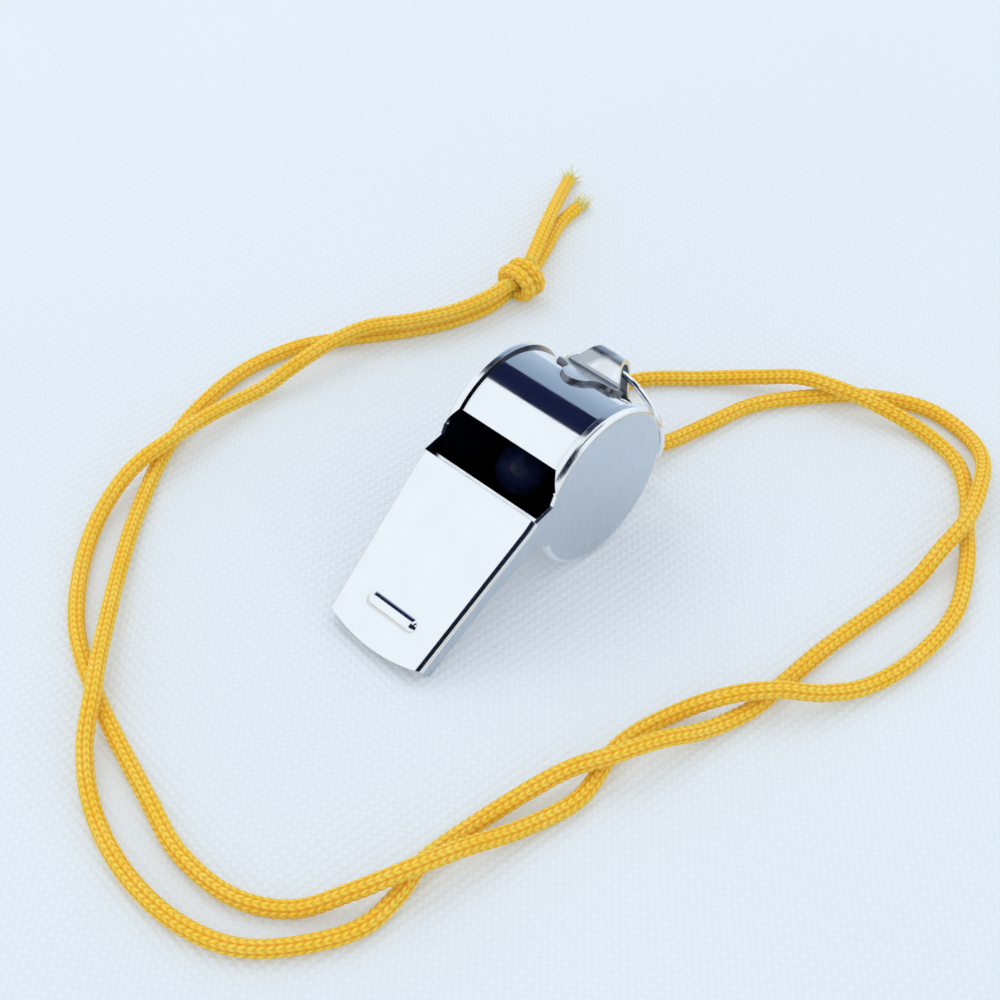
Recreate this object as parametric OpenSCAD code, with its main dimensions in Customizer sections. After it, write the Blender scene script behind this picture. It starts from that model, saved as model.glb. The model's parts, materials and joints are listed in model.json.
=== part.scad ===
// Pea whistle of plated sheet metal, lying on its barrel and the corners of its mouth.
// A round chamber carries a flat tapering mouthpiece, a strap bail and a jump ring.
// A knotted cord runs through the ring and lies round the whistle in one long loop.
// Millimetres, +Z up. The mouth points to -X, the barrel's axis runs along Y and the
// origin is on the surface, under the middle of the whistle with its ring.

/* [Chamber] */
// Diameter of the barrel over the rims of the side plates
barrel_dia = 23.5; // [20:0.1:27]
// Width of the whistle over the side plates
whistle_width = 19.8; // [17:0.1:23]
// Thickness of the band, the side plates and the inner plate
sheet = 0.5; // [0.35:0.05:0.6]
// Width of each turned rim, measured from the side plate's face
rim_width = 1.5; // [1.3:0.05:1.9]
// Outer radius of the rim's rounded corner
rim_round = 1; // [0.7:0.05:1.1]
// Inner radius of the rim's rounded corner
rim_inner_round = 0.3; // [0.1:0.05:0.4]
// Angle from the top forward to the lip of the band
lip_angle = 11.3; // [8:0.1:14]
// Angle from the top forward to the outer end of the rim
rim_end_angle = 26; // [22:0.5:29]
// Angle from the top forward to the step in the side plate's edge
step_angle = 34; // [31:0.5:36]
// Diameter of the side plate's edge between the rim and the step
ledge_dia = 22.5; // [19.5:0.1:25.5]
// Depth of the step in the side plate's edge
step_depth = 0.4; // [0.3:0.05:0.5]

/* [Mouthpiece] */
// Distance from the barrel's axis to the corners of the mouth
mouth_reach = 33; // [29:0.1:37]
// Height of the top plate over the barrel's axis, with the whistle upright
plate_height = 10.75; // [9.5:0.05:11.5]
// Thickness of the top plate
plate_sheet = 0.6; // [0.45:0.05:0.7]
// Radius of the top plate's bent long edges
edge_round = 0.85; // [0.7:0.05:1]
// Distance from the barrel's axis to the front edge of the window
window_reach = 9.2; // [8.6:0.1:9.6]
// Height of the window's side edge where it meets the top plate
window_edge_height = 10.5; // [10:0.05:10.6]
// Depth of the side walls at the mouth
tip_depth = 2.85; // [2.4:0.05:3.3]
// Distance from the barrel's axis to where the side walls begin to deepen
deepen_reach = 20.5; // [18:0.1:23]
// Distance from the barrel's axis to where the deeper side walls are measured
deep_reach = 12.3; // [12:0.1:13]
// Depth of the side walls there
deep_depth = 4.1; // [3.8:0.05:4.4]
// Radius of the fillet between the underside and the barrel
crotch_round = 1.6; // [1.3:0.05:1.9]
// Width over the side walls at the mouth
mouth_width = 16.6; // [14:0.1:18.5]
// Distance from the barrel's axis to the fold of the side plates
fold_reach = 11; // [10.95:0.05:11.2]
// Bulge of the top plate's front edge
front_bulge = 1.4; // [0.8:0.1:2]
// Distance from the barrel's axis to the bite bump
bump_reach = 29; // [26:0.1:31]
// Length of the bite bump across the top plate
bump_length = 8.5; // [6:0.1:10]
// Width of the bite bump
bump_width = 2.1; // [1.6:0.1:2.5]
// Height of the bite bump
bump_height = 0.45; // [0.3:0.05:0.6]
// Distance from the barrel's axis to the rear edge of the inner plate
floor_reach = 8.7; // [8.5:0.1:8.8]
// Forward slope of the inner plate's leg
floor_lean = 0.9; // [0.8:0.05:1]

/* [Bail] */
// Height of the bail over the band
bail_rise = 4.75; // [4.4:0.05:5.4]
// Width of the bail at its ridge
bail_ridge_width = 4.4; // [3.6:0.1:5]
// Width of the bail where its legs meet the band
bail_root_width = 10; // [8.5:0.1:11]
// Outer span of the bail's two legs
bail_span = 4; // [3.6:0.1:4.6]
// Thickness of the bail's strap
bail_sheet = 0.6; // [0.45:0.05:0.7]
// Inward bow of the bail's side edges
bail_bow = 0.3; // [0.15:0.05:0.5]
// Distance from the bail's middle to the shoulders of its feet
shoulder_reach = 4; // [3.7:0.1:4.4]
// Distance from the bail's middle to the tips of its feet
foot_reach = 7.5; // [7:0.1:8]
// Radius of each foot's round tip
foot_round = 2.3; // [2:0.1:2.6]
// Radius of the hollow flank beside each foot
flank_round = 2.1; // [1.9:0.1:2.3]
// Radius of the corners on each shoulder
shoulder_round = 0.6; // [0.4:0.05:0.8]
// Radius of the bend between leg and foot
root_round = 0.5; // [0.3:0.05:0.6]

/* [Pea] */
// Diameter of the pea
pea_dia = 7.5; // [6:0.1:8.5]
// Distance of the pea from the middle of the barrel, towards the far side
pea_offset = 4.9; // [0:0.1:5.2]
// Gap between the pea and the band it rolls on
pea_gap = 0.06; // [0.04:0.01:0.1]

/* [Ring] */
// Diameter of the jump ring, along the middle of its wire
ring_dia = 18; // [17.4:0.1:18.4]
// Diameter of the ring's wire
ring_wire = 0.9; // [0.7:0.05:1]
// Distance from the band to the middle of the wire in the eye
eye_rise = 3.1; // [2.9:0.05:3.2]
// Outward lean of the hanging ring
ring_lean = 6; // [5:0.5:9]
// Angle of the closed joint in the ring's wire
ring_joint_angle = 0.8; // [0.5:0.1:2]
// Place of the joint round the ring, from its lowest point to the far side
ring_joint_place = 70; // [50:1:110]

/* [Cord] */
// Diameter of the cord
cord_dia = 2.4; // [2:0.1:2.5]
// Length of the surface that one unit of the cord's lay stands for
lay_unit = 10; // [9.8:0.05:10.5]
// Length of the knot
knot_length = 8.6; // [7:0.1:10]
// Width of the knot
knot_width = 7; // [6:0.1:8.5]
// Height of the knot
knot_height = 5.4; // [4.8:0.1:6]
// Turn of the knot, from +X to +Y
knot_turn = -20; // [-45:1:45]

/* [Hidden] */

$fn = 96;

// Names for halves, full turns and the sizes of the cutting blocks.
half = 1 / 2;
full_turn = 360;
right_angle = 90;
block = 2 * mouth_reach;
margin = sheet;

// Barrel and side plates, seen along the barrel's axis with the whistle upright.
barrel_r = barrel_dia * half;
band_r = barrel_r - sheet;
chamber_r = band_r - sheet;
ledge_r = ledge_dia * half;
face_y = whistle_width * half;
inner_y = face_y - sheet;
rim_y = face_y - rim_width;
band_y = inner_y - rim_inner_round;
seam_r = barrel_r - rim_round - sheet;

// Underside of the mouthpiece: a flat run from the mouth, a slope and a fillet.
tip_z = plate_height - tip_depth;
slope = (deep_depth - tip_depth) / (deepen_reach - deep_reach);
slope_angle = atan(slope);
slope_rise = tip_z + slope * deepen_reach;

// Height of the slope's line under the side plates, at a distance ahead of the axis.
function slope_z(ahead, inset) = tip_z - slope * (deepen_reach - ahead) + inset / cos(slope_angle);

// Distance ahead of the axis at which the flat run meets the slope.
function kink_x(inset) = deepen_reach - inset * (1 - cos(slope_angle)) / sin(slope_angle);

// Middle of the fillet: on a line under the slope and on a circle round the barrel.
fillet_line = slope_z(0, -crotch_round);
fillet_reach = barrel_r + crotch_round;
fillet_a = 1 + slope * slope;
fillet_b = slope * fillet_line;
fillet_c = fillet_line * fillet_line - fillet_reach * fillet_reach;
fillet_x = (-fillet_b + sqrt(fillet_b * fillet_b - fillet_a * fillet_c)) / fillet_a;
fillet_z = fillet_line + slope * fillet_x;
crotch_angle = atan2(fillet_x, fillet_z);

// Points where the fillet touches the slope and the barrel.
function slope_touch(inset) = [
    -fillet_x + (crotch_round + inset) * sin(slope_angle),
    fillet_z + (crotch_round + inset) * cos(slope_angle)
];
function barrel_touch(inset) = [
    -(barrel_r - inset) * sin(crotch_angle),
    (barrel_r - inset) * cos(crotch_angle)
];

// Taper of the mouthpiece, from the fold of the side plates to the mouth.
mouth_half = mouth_width * half;
taper = atan((face_y - mouth_half) / (mouth_reach - fold_reach));
wall_length = (mouth_reach - fold_reach) / cos(taper);
wall_top = plate_height - edge_round;
front_r = (mouth_half * mouth_half + front_bulge * front_bulge) / (2 * front_bulge);
nose_reach = mouth_reach + front_bulge;
function wall_y(ahead) = face_y - max(0, ahead - fold_reach) * tan(taper);

// Bite bump: an arc whose chord lies on the top plate.
bump_r = (bump_width * bump_width / 4 + bump_height * bump_height) / (2 * bump_height);
bump_z = plate_height + bump_height - bump_r;
bump_run = bump_length - bump_width;

// Resting pose: the barrel's rims and the two corners of the mouth touch the surface.
corner_reach = sqrt(mouth_reach * mouth_reach + tip_z * tip_z);
lie = asin(barrel_r / corner_reach) + atan(tip_z / mouth_reach);

// Bail, behind the barrel.
bail_top = band_r + bail_rise;
bail_arch_r = bail_span * half;
bail_arch_x = bail_top - bail_arch_r;
bail_half_root = bail_root_width * half;
bail_half_ridge = bail_ridge_width * half;
bail_root_x = sqrt(band_r * band_r - bail_arch_r * bail_arch_r);
bail_root = [bail_half_root, bail_root_x];
bail_side = [bail_half_ridge, bail_top] - bail_root;
bail_tip = bail_root + bail_side * (1 + bail_sheet / bail_rise);
bow_chord = norm(bail_tip - bail_root);
bow_r = bow_chord * bow_chord / (8 * bail_bow) + bail_bow * half;
bow_out = [bail_side[1], -bail_side[0]] / norm(bail_side);
bow_centre = (bail_root + bail_tip) * half + bow_out * (bow_r - bail_bow);
foot_centre = foot_reach - foot_round;
flank_z = shoulder_reach + flank_round;
flank_drop = flank_z - foot_centre;
flank_y = foot_round + sqrt(flank_round * flank_round - flank_drop * flank_drop);
root_z = bail_arch_r + root_round;
root_r = band_r + bail_sheet + root_round;
root_x = sqrt(root_r * root_r - root_z * root_z);

// Pea and ring in the resting pose.
pea_r = pea_dia * half;
pea_orbit = chamber_r - pea_r - pea_gap;
ring_r = ring_dia * half;
eye_r = band_r + eye_rise;
eye_x = eye_r * cos(lie);
eye_z = eye_r * sin(lie);
ring_out = 2 * ring_r * sin(ring_lean) + ring_wire * half;

// The origin lies under the middle of everything but the cord.
nose_x = -nose_reach * cos(lie) - plate_height * sin(lie);
back_x = max(eye_x + ring_out, bail_arch_x * cos(lie) + bail_arch_r);
shift_x = -(nose_x + back_x) * half;

// Lay of the cord: units ahead of and beside the barrel's axis, then the height over
// the surface in cord diameters. Both strands start in the ring and end in the knot.
lay_a = [
    [1.36, -0.05, 1.05], [1.12, 0.2, 0.65], [1.12, 0.6, 0.1], [1.45, 0.98, 0],
    [2.05, 1.05, 0], [2.85, 0.7, 0], [3.5, 0.05, 0], [4, -0.6, 0.4],
    [4.3, -1.15, 0.95], [4.45, -1.75, 1.1], [4.65, -2.4, 0.6], [4.75, -3.1, 0],
    [4.55, -3.7, 0], [4.1, -4.15, 0], [3.55, -4.5, 0], [3.1, -4.8, 0],
    [2.2, -5.2, 0], [1.2, -5.25, 0], [0.4, -5.05, 0], [-0.15, -4.75, 0.5],
    [-0.6, -4.35, 1.1], [-1.05, -3.95, 0.95], [-1.6, -3.55, 0.1], [-2.4, -3.35, 0],
    [-3.35, -3.5, 0], [-4.15, -3.3, 0.2], [-4.9, -3.05, 0.9], [-5.6, -2.8, 1.15],
    [-6.15, -2.5, 0.65], [-6.7, -2.1, 0], [-7.05, -1.5, 0], [-7.1, -0.6, 0],
    [-6.85, 0.3, 0], [-6.25, 2.1, 0], [-5.7, 3.15, 0], [-4.6, 4.2, 0.1],
    [-3.6, 4.6, 0.75], [-2.9, 4.6, 1.1], [-2, 4.65, 0.7], [-1.1, 4.6, 0.3],
    [-0.55, 4.5, 0.9], [0.2, 4.42, 1.15], [0.75, 4.3, 1.05], [1.3, 3.92, 1.05],
    [1.9, 3.6, 1.05], [2.45, 3.45, 1.05], [2.9, 3.42, 1.05]
];
lay_b = [
    [1.36, -0.05, 1.05], [1.65, -0.3, 0.8], [2, -0.42, 0.2], [2.7, -0.6, 0],
    [3.55, -0.85, 0], [4.25, -1.35, 0], [4.8, -1.9, 0], [5.2, -2.75, 0],
    [5.15, -3.4, 0], [4.75, -3.95, 0.6], [4.1, -4.3, 1.1], [3.45, -4.5, 1.1],
    [2.9, -4.5, 0.65], [2.2, -4.5, 0], [0.5, -4.3, 0], [-0.3, -4.25, 0],
    [-0.9, -4.2, 0], [-1.55, -4, 0.2], [-2.15, -3.75, 0.9], [-2.75, -3.5, 1.15],
    [-3.25, -3.2, 0.8], [-4.7, -2.8, 0], [-5.3, -2.75, 0], [-5.75, -2.85, 0],
    [-6.3, -2.85, 0], [-6.95, -2.5, 0], [-7.45, -2, 0], [-7.7, -1.3, 0],
    [-7.7, -0.35, 0], [-7.4, 0.65, 0], [-6.95, 1.35, 0.5], [-6.4, 1.85, 1.1],
    [-5.8, 2.45, 0.75], [-4.15, 3.9, 0], [-2.8, 4.75, 0], [-1.9, 5.05, 0],
    [-0.95, 5.15, 0], [-0.1, 4.95, 0], [0.35, 4.68, 0], [0.8, 4.36, 0],
    [1.3, 4, 0], [1.9, 3.67, 0], [2.5, 3.5, 0], [2.95, 3.5, 0]
];
lay_tail_a = [
    [3.5, 3.52, 1], [4.18, 3.87, 1], [4.62, 4.1, 0.92], [5.3, 4.46, 0.45], [5.8, 4.72, 0]
];
lay_tail_b = [[3.55, 3.55, 0], [4.2, 3.8, 0], [4.85, 4.06, 0], [5.38, 4.14, 0]];
knot_place = [3.2, 3.5];
thread_way = [1, -1, 0];
cord_sides = 8;
cord_r = cord_dia * half;

// Turns a lay into points in millimetres.
function lay_points(lay) = [
    for (p = lay) [p[0] * lay_unit, p[1] * lay_unit, cord_r + p[2] * cord_dia]
];

// Direction of the cord at one point, from its neighbours, and at an end from its run.
function unit(v) = v / norm(v);
function way(p, i, first) =
    i == 0 && norm(first) > 0 ? unit(first)
    : unit(p[min(i + 1, len(p) - 1)] - p[max(i - 1, 0)]);

// One ring of corners round the cord at a point.
function cord_ring(at, along) =
    let (side = unit(cross(along, [0, 0, 1])), up = cross(side, along))
    [for (k = [0 : cord_sides - 1])
        let (a = full_turn * k / cord_sides)
        at + cord_r * (cos(a) * side + sin(a) * up)];

// Tube that follows a lay, with a first direction where one is given.
module cord_tube(lay, first) {
    p = lay_points(lay);
    last = len(p) - 1;
    corners = [for (i = [0 : last]) each cord_ring(p[i], way(p, i, first))];
    skin = [
        for (i = [0 : last - 1])
            for (k = [0 : cord_sides - 1])
                let (
                    a = i * cord_sides + k,
                    b = i * cord_sides + (k + 1) % cord_sides,
                    c = a + cord_sides,
                    d = b + cord_sides
                )
                each [[a, d, b], [a, c, d]]
    ];
    start_cap = [for (k = [0 : cord_sides - 1]) k];
    end_cap = [for (k = [cord_sides - 1 : -1 : 0]) last * cord_sides + k];
    polyhedron(points = corners, faces = concat([start_cap], skin, [end_cap]));
}

// Places what is drawn round the upright barrel's axis in the resting pose.
module resting() {
    translate([shift_x, 0, barrel_r]) rotate([0, -lie, 0]) children();
}

// Places what is drawn from the barrel's axis without turning it.
module beside_barrel() {
    translate([shift_x, 0, barrel_r]) children();
}

// Places what lies on the surface.
module on_surface() {
    translate([shift_x, 0, 0]) children();
}

// Draws a side view, ahead and up, as a sheet from one width to another.
module across(from_y, to_y) {
    translate([0, to_y, 0])
        rotate([right_angle, 0, 0])
            linear_extrude(to_y - from_y) children();
}

// Outline of barrel and mouthpiece seen from the side, set in by a distance. An open
// outline runs on past the mouth, the top plate and the window up to the lip.
module body_outline(inset, open) {
    ahead = mouth_reach + (open ? margin : 0);
    above = plate_height + (open ? sheet : 0);
    difference() {
        union() {
            circle(barrel_r - inset);
            polygon([
                [-ahead, above],
                [-ahead, tip_z + inset],
                [-kink_x(inset), tip_z + inset],
                slope_touch(inset),
                barrel_touch(inset),
                [0, 0],
                [-barrel_dia * sin(lip_angle), barrel_dia * cos(lip_angle)],
                [-window_reach, barrel_dia]
            ]);
        }
        translate([-fillet_x, fillet_z]) circle(crotch_round + inset);
    }
}

// Point of the fold line in plan, set in from the outer faces.
function fold_point(inset) = [-fold_reach + inset * tan(taper * half), face_y - inset];

// Plan of the mouthpiece between its side walls, set in from their outer faces.
module mouth_plan(inset, rear, front) {
    fold = fold_point(inset);
    front_y = wall_y(front) - inset / cos(taper);
    polygon([
        [-rear, fold[1]],
        fold,
        [-front, front_y],
        [-front, -front_y],
        [fold[0], -fold[1]],
        [-rear, -fold[1]]
    ]);
}

// One sheet bent round the chamber and out along the underside of the mouthpiece. It is
// narrower inside the rims, whose inner corners are round.
module chamber_band() {
    crotch = barrel_touch(0);
    color("silver") resting() intersection() {
        across(-face_y, face_y) difference() {
            body_outline(sheet, false);
            body_outline(2 * sheet, true);
        }
        union() {
            across(-band_y, band_y) circle(barrel_r);
            intersection() {
                linear_extrude(block) mouth_plan(sheet, floor_reach - margin, mouth_reach);
                across(-face_y, face_y)
                    polygon([[0, 0], crotch, [-block, crotch[1]], [-block, block], [0, block]]);
            }
        }
    }
}

// Point in the side view, at an angle ahead of the top and a distance from the axis.
function around(angle, r) = [-r * sin(angle), r * cos(angle)];

// Side view of the wall that runs from the disc out beside the mouthpiece.
module wall_outline() {
    difference() {
        polygon([
            around(rim_end_angle, seam_r),
            around(rim_end_angle, ledge_r),
            around(step_angle, ledge_r),
            around(step_angle, ledge_r - step_depth),
            [-window_reach, window_edge_height],
            [-window_reach, wall_top],
            [-mouth_reach, wall_top],
            [-mouth_reach, tip_z],
            [-kink_x(0), tip_z],
            slope_touch(0),
            around(crotch_angle, barrel_r + margin),
            around(crotch_angle, seam_r)
        ]);
        translate([-fillet_x, fillet_z]) circle(crotch_round);
    }
}

// Area inside a rounded corner of the disc's section, up to a radius and a width.
module corner_area(r, y, corner) {
    translate([0, rim_y]) square([r, y - corner - rim_y]);
    translate([0, rim_y]) square([r - corner, y - rim_y]);
    intersection() {
        translate([r - corner, y - corner]) circle(corner);
        translate([0, rim_y]) square(block);
    }
}

// Disc with its rim turned over the band. The rim ends at the fillet and behind the
// window, where it is cut on the slant from its inner edge to the outer face.
module disc() {
    inner_end = [-barrel_r * sin(lip_angle), rim_y];
    outer_end = [-barrel_r * sin(rim_end_angle), face_y];
    difference() {
        rotate([-right_angle, 0, 0]) rotate_extrude() difference() {
            corner_area(barrel_r, face_y, rim_round);
            corner_area(band_r, inner_y, rim_inner_round);
        }
        across(0, whistle_width) polygon([
            around(rim_end_angle, seam_r),
            around(rim_end_angle, block),
            around(crotch_angle, block),
            around(crotch_angle, seam_r)
        ]);
        translate([0, 0, ledge_r * cos(rim_end_angle)]) linear_extrude(block) polygon([
            2 * inner_end - outer_end,
            2 * outer_end - inner_end,
            [-block, 2 * face_y],
            [-block, 0]
        ]);
    }
}

// Side plate of the far side: a disc with its rim, and a wall that folds inwards.
module side_plate() {
    fold_x = fold_point(sheet)[0];
    end_x = mouth_reach + margin;
    disc();
    across(inner_y, face_y) intersection() {
        wall_outline();
        translate([fold_x, -block]) square(2 * block);
    }
    intersection() {
        across(0, whistle_width) intersection() {
            wall_outline();
            translate([fold_x - block, 0]) square(block);
        }
        linear_extrude(block) polygon([
            [fold_x, face_y],
            fold_point(0),
            [-end_x, wall_y(end_x)],
            [-end_x, wall_y(end_x) - sheet / cos(taper)],
            fold_point(sheet)
        ]);
    }
}

module side_plate_near() {
    color("lightsteelblue") resting() mirror([0, 1, 0]) side_plate();
}

module side_plate_far() {
    color("lightsteelblue") resting() side_plate();
}

// Bent long edge of the top plate: a quarter of a tube along the side wall.
module bent_edge(length) {
    translate([0, -edge_round, wall_top]) rotate([0, -right_angle, 0])
        linear_extrude(length) intersection() {
            difference() {
                circle(edge_round);
                circle(edge_round - plate_sheet);
            }
            square(edge_round);
        }
}

// Rounded bar across the top plate, for the bump and for the hollow under it.
module bump_bar(r) {
    translate([-bump_reach, -bump_run * half, bump_z]) {
        rotate([-right_angle, 0, 0]) cylinder(r = r, h = bump_run);
        sphere(r);
        translate([0, bump_run, 0]) sphere(r);
    }
}

// Both bent edges of one side, cut to a mitre at the fold.
module bent_edges() {
    outer = fold_point(-edge_round);
    inner = fold_point(2 * edge_round);
    intersection() {
        translate([-window_reach, face_y, 0]) bent_edge(fold_reach - window_reach + margin);
        linear_extrude(block) polygon([outer, inner, [0, inner[1]], [0, outer[1]]]);
    }
    intersection() {
        translate([-fold_reach, face_y, 0]) rotate([0, 0, taper]) translate([margin, 0, 0])
            bent_edge(wall_length + front_bulge + 2 * margin);
        linear_extrude(block) polygon([outer, inner, [-block, 0], [-block, outer[1]]]);
    }
}

// Top plate with rounded long edges, a bowed front edge and an embossed bite bump.
module top_plate() {
    color("whitesmoke") resting() difference() {
        union() {
            intersection() {
                union() {
                    translate([0, 0, plate_height - plate_sheet]) linear_extrude(plate_sheet)
                        mouth_plan(edge_round, window_reach, nose_reach + margin);
                    for (s = [0, 1]) mirror([0, s, 0]) bent_edges();
                }
                translate([front_r - nose_reach, 0, 0]) cylinder(r = front_r, h = block, $fn = 240);
            }
            intersection() {
                bump_bar(bump_r);
                translate([-mouth_reach, -face_y, plate_height - plate_sheet * half])
                    cube([mouth_reach, whistle_width, block]);
            }
        }
        bump_bar(bump_r - plate_sheet);
    }
}

// Inner plate: floor of the windway, with a leg that closes it off from the chamber.
module windway_floor() {
    color("gray") resting() intersection() {
        across(-face_y, face_y) intersection() {
            body_outline(2 * sheet, true);
            union() {
                translate([-deepen_reach, tip_z + sheet])
                    square([deepen_reach - floor_reach, sheet]);
                polygon([
                    [-floor_reach, tip_z + 2 * sheet],
                    [-floor_reach - sheet, tip_z + 2 * sheet],
                    [-floor_reach - sheet - floor_lean, fillet_z],
                    [-floor_reach - floor_lean, fillet_z]
                ]);
            }
        }
        linear_extrude(block) mouth_plan(sheet, floor_reach - margin, mouth_reach);
    }
}

// Side view of the bail's arch, with the bends that turn its legs into feet.
module bail_arch() {
    difference() {
        union() {
            translate([bail_arch_x, 0]) circle(bail_arch_r);
            translate([0, -bail_arch_r]) square([bail_arch_x, bail_span]);
            for (s = [0, 1]) mirror([0, s]) difference() {
                polygon([
                    [root_x, 0],
                    [root_x, bail_arch_r],
                    [root_x, root_z],
                    [root_x, root_z] * (band_r + bail_sheet) / root_r,
                    [bail_root_x, 0]
                ]);
                translate([root_x, root_z]) circle(root_round);
            }
        }
        translate([bail_arch_x, 0]) circle(bail_arch_r - bail_sheet);
        translate([0, bail_sheet - bail_arch_r]) square([bail_arch_x, bail_span - 2 * bail_sheet]);
        circle(band_r);
    }
}

// Width of the bail's legs over their height, with bowed side edges.
module bail_front() {
    difference() {
        polygon([
            bail_tip,
            bail_root,
            [bail_half_root, 0],
            [-bail_half_root, 0],
            [-bail_half_root, bail_root_x],
            [-bail_tip[0], bail_tip[1]]
        ]);
        for (s = [-1, 1]) translate([s * bow_centre[0], bow_centre[1]])
            circle(bow_r, $fn = 240);
    }
}

// Outline of one foot on the band: wide shoulders, hollow flanks and a round tongue.
module foot_outline() {
    low = bail_arch_r - bail_sheet;
    translate([-bail_half_root, low])
        square([bail_root_width, shoulder_reach - shoulder_round - low]);
    translate([shoulder_round - bail_half_root, low])
        square([bail_root_width - 2 * shoulder_round, shoulder_reach - low]);
    for (s = [-1, 1])
        translate([s * (bail_half_root - shoulder_round), shoulder_reach - shoulder_round])
            circle(shoulder_round);
    difference() {
        union() {
            translate([-flank_y, low])
                square([2 * flank_y, (foot_centre + flank_z) * half - low]);
            translate([0, foot_centre]) circle(foot_round);
        }
        for (s = [-1, 1]) translate([s * flank_y, flank_z]) circle(flank_round);
    }
}

module bail() {
    color("silver") resting() {
        intersection() {
            across(-bail_half_root, bail_half_root) bail_arch();
            translate([0, 0, -block * half]) linear_extrude(block)
                rotate(-right_angle) bail_front();
        }
        for (s = [0, 1]) mirror([0, 0, s]) intersection() {
            across(-bail_half_root, bail_half_root) difference() {
                circle(band_r + bail_sheet);
                circle(band_r);
            }
            rotate([right_angle, 0, right_angle]) linear_extrude(block) foot_outline();
        }
    }
}

module pea() {
    color("midnightblue") beside_barrel() translate([0, pea_offset, -pea_orbit]) sphere(pea_r);
}

// Ring of round wire that hangs in the bail, with its ends closed against each other.
module jump_ring() {
    color("silver") beside_barrel() translate([eye_x, 0, eye_z]) rotate([0, -ring_lean, 0])
        translate([0, 0, -ring_r]) rotate([0, right_angle, 0])
            rotate([0, 0, ring_joint_place + ring_joint_angle])
                rotate_extrude(angle = full_turn - ring_joint_angle)
                    translate([ring_r, 0]) circle(ring_wire * half, $fn = 32);
}

module cord_a() {
    color("goldenrod") on_surface() cord_tube(lay_a, -thread_way);
}

module cord_b() {
    color("gold") on_surface() cord_tube(lay_b, thread_way);
}

// Closed outer shape of the overhand knot that joins both strands.
module knot() {
    color("orange") on_surface()
        translate([knot_place[0] * lay_unit, knot_place[1] * lay_unit, knot_height * half])
            rotate([0, 0, knot_turn])
                resize([knot_length, knot_width, knot_height])
                    sphere(knot_height * half, $fn = 32);
}

module tail_a() {
    color("gold") on_surface() cord_tube(lay_tail_a, [0, 0, 0]);
}

module tail_b() {
    color("goldenrod") on_surface() cord_tube(lay_tail_b, [0, 0, 0]);
}

chamber_band();
side_plate_near();
side_plate_far();
top_plate();
windway_floor();
bail();
pea();
jump_ring();
cord_a();
cord_b();
knot();
tail_a();
tail_b();
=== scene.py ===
"""Pea whistle of plated sheet metal on a knotted loop of knitted cord.

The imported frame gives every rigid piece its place. The cord, its knot and its loose ends are
made here along the same points that the frame's solids follow, and all finishes are set here.
"""

import json
import math
import random

import bpy
from bpy.props import FloatProperty, FloatVectorProperty, IntProperty, PointerProperty
from mathutils import Matrix, Vector


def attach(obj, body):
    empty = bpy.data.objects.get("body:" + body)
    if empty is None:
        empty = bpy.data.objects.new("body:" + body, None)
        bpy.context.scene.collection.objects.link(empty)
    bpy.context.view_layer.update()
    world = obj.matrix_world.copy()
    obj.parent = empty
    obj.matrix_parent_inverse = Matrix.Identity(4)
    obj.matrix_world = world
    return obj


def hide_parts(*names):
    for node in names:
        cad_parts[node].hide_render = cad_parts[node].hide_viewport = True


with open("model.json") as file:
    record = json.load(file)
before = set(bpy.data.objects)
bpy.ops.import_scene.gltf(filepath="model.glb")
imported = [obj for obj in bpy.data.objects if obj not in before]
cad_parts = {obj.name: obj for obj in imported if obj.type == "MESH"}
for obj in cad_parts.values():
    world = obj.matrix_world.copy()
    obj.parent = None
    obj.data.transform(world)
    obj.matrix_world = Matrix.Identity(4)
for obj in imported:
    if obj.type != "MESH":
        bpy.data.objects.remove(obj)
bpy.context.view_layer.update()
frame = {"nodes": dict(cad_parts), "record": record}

bl_info = {
    "name": "Pea whistle on a knitted cord",
    "version": (1, 0, 0),
    "blender": (4, 5, 0),
    "location": "View3D > Sidebar > Whistle",
    "description": "Finishes a sheet metal whistle and lays its knotted cord",
    "category": "Object",
}

MM = 0.001
JOINTS = {j["name"]: j for j in frame["record"]["behaviour"]["joints"]}
# The pea rolls round the barrel's axis, and the barrel lies on the surface.
BARREL = Vector(JOINTS["pea_orbit"]["pos_m"])
BARREL_RADIUS = BARREL.z
LAY_UNIT = 10 * MM

# Lay of the cord, as in the frame's source: units ahead of and beside the barrel's axis,
# then the height over the surface in cord diameters.
LAY_A = [
    (1.36, -0.05, 1.05), (1.12, 0.2, 0.65), (1.12, 0.6, 0.1), (1.45, 0.98, 0),
    (2.05, 1.05, 0), (2.85, 0.7, 0), (3.5, 0.05, 0), (4, -0.6, 0.4),
    (4.3, -1.15, 0.95), (4.45, -1.75, 1.1), (4.65, -2.4, 0.6), (4.75, -3.1, 0),
    (4.55, -3.7, 0), (4.1, -4.15, 0), (3.55, -4.5, 0), (3.1, -4.8, 0),
    (2.2, -5.2, 0), (1.2, -5.25, 0), (0.4, -5.05, 0), (-0.15, -4.75, 0.5),
    (-0.6, -4.35, 1.1), (-1.05, -3.95, 0.95), (-1.6, -3.55, 0.1), (-2.4, -3.35, 0),
    (-3.35, -3.5, 0), (-4.15, -3.3, 0.2), (-4.9, -3.05, 0.9), (-5.6, -2.8, 1.15),
    (-6.15, -2.5, 0.65), (-6.7, -2.1, 0), (-7.05, -1.5, 0), (-7.1, -0.6, 0),
    (-6.85, 0.3, 0), (-6.25, 2.1, 0), (-5.7, 3.15, 0), (-4.6, 4.2, 0.1),
    (-3.6, 4.6, 0.75), (-2.9, 4.6, 1.1), (-2, 4.65, 0.7), (-1.1, 4.6, 0.3),
    (-0.55, 4.5, 0.9), (0.2, 4.42, 1.15), (0.75, 4.3, 1.05), (1.3, 3.92, 1.05),
    (1.9, 3.6, 1.05), (2.45, 3.45, 1.05), (2.9, 3.42, 1.05),
]
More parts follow.
